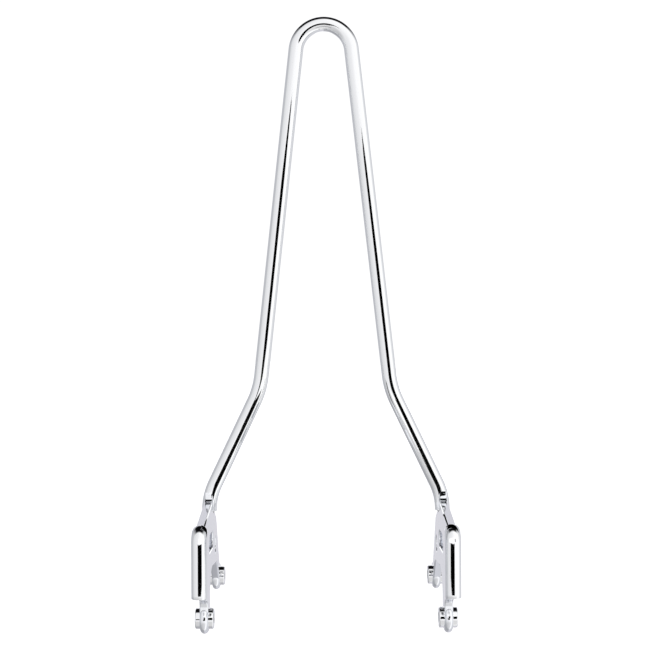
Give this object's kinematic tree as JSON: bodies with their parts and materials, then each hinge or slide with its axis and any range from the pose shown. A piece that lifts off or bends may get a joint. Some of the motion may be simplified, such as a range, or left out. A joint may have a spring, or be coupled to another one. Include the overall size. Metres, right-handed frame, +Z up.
{
  "type": "sissy bar",
  "caption": "Tall chromed round-bar hoop, kinked outward low down and welded to flat side plates with bushed bolt lugs and short bent-over rods, for the back of a motorcycle seat.",
  "frame": {"origin": "midway between the two rear bolt holes, on their common axis", "axes": "+X across the motorcycle to the right, +Y forward, +Z up"},
  "size_m": [0.269, 0.221, 0.6475],
  "materials": {
    "chrome_bar": "polished chrome plate",
    "chrome_plate": "polished chrome plate on flat faces",
    "chrome_turned": "polished chrome plate on turned faces",
    "chrome_weld": "chrome plate over dressed welds"
  },
  "bodies": {
    "root": {"hoop_bar": "chrome_bar", "left_side_plate": "chrome_plate", "right_side_plate": "chrome_plate", "left_rear_rod": "chrome_bar", "right_rear_rod": "chrome_bar", "left_rear_bushing": "chrome_turned", "right_rear_bushing": "chrome_turned", "left_front_bushing": "chrome_turned", "right_front_bushing": "chrome_turned", "left_foot_weld": "chrome_weld", "right_foot_weld": "chrome_weld", "left_rod_weld": "chrome_weld", "right_rod_weld": "chrome_weld"}
  },
  "joints": []
}
